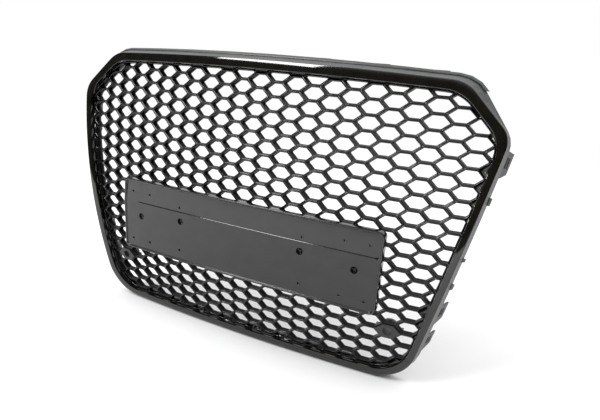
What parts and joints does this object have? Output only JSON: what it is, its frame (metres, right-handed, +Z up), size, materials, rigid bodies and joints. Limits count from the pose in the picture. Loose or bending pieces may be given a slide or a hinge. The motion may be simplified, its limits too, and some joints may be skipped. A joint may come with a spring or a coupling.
{
  "type": "front grille",
  "caption": "Black honeycomb front grille of a car: gloss six-cornered surround, bowed mesh, number plate base, parking sensor holders and rear fixing points.",
  "frame": {"origin": "middle of the honeycomb's depth, on its centre column of cells, 128.5 mm above the plate base's lower edge", "axes": "+X to the right of a person in front of the car, the front faces -Y, +Z up"},
  "size_m": [0.8388, 0.1342, 0.5275],
  "materials": {
    "gloss_black": "piano black, very glossy, faint orange peel",
    "mesh_black": "gloss black moulding with faint flow marks and dust",
    "satin_black": "satin dark grey moulding, fine grain",
    "plate_black": "semi-gloss dark grey moulding, slightly wavy",
    "textured_black": "fine spark-eroded grain",
    "black_zinc": "black passivated steel, slightly glossy",
    "zinc": "zinc plated steel, slightly dull"
  },
  "bodies": {
    "root": {"surround_trim": "gloss_black", "carrier_frame": "satin_black", "honeycomb_mesh": "mesh_black", "plate_base": "plate_black", "sensor_holder_right": "textured_black", "sensor_collar_right": "textured_black", "sensor_holder_left": "textured_black", "sensor_collar_left": "textured_black", "plate_screw_1": "black_zinc", "plate_nut_1": "zinc", "plate_screw_2": "black_zinc", "plate_nut_2": "zinc", "plate_screw_3": "black_zinc", "plate_nut_3": "zinc", "plate_screw_4": "black_zinc", "plate_nut_4": "zinc", "trim_screw_1": "zinc", "trim_screw_2": "zinc", "trim_screw_3": "zinc", "trim_screw_4": "zinc", "trim_screw_5": "zinc", "trim_screw_6": "zinc", "trim_screw_7": "zinc", "trim_screw_8": "zinc", "trim_screw_9": "zinc", "trim_screw_10": "zinc", "top_spring_nut_1": "zinc", "top_spring_nut_2": "zinc", "top_spring_nut_3": "zinc", "top_spring_nut_4": "zinc", "top_spring_nut_5": "zinc", "top_spring_nut_6": "zinc", "side_bracket_right_1": "satin_black", "bracket_screw_right_1": "zinc", "side_bracket_right_2": "satin_black", "bracket_screw_right_2": "zinc", "side_bracket_right_3": "satin_black", "bracket_screw_right_3": "zinc", "side_bracket_left_1": "satin_black", "bracket_screw_left_1": "zinc", "side_bracket_left_2": "satin_black", "bracket_screw_left_2": "zinc", "side_bracket_left_3": "satin_black", "bracket_screw_left_3": "zinc"}
  },
  "joints": []
}
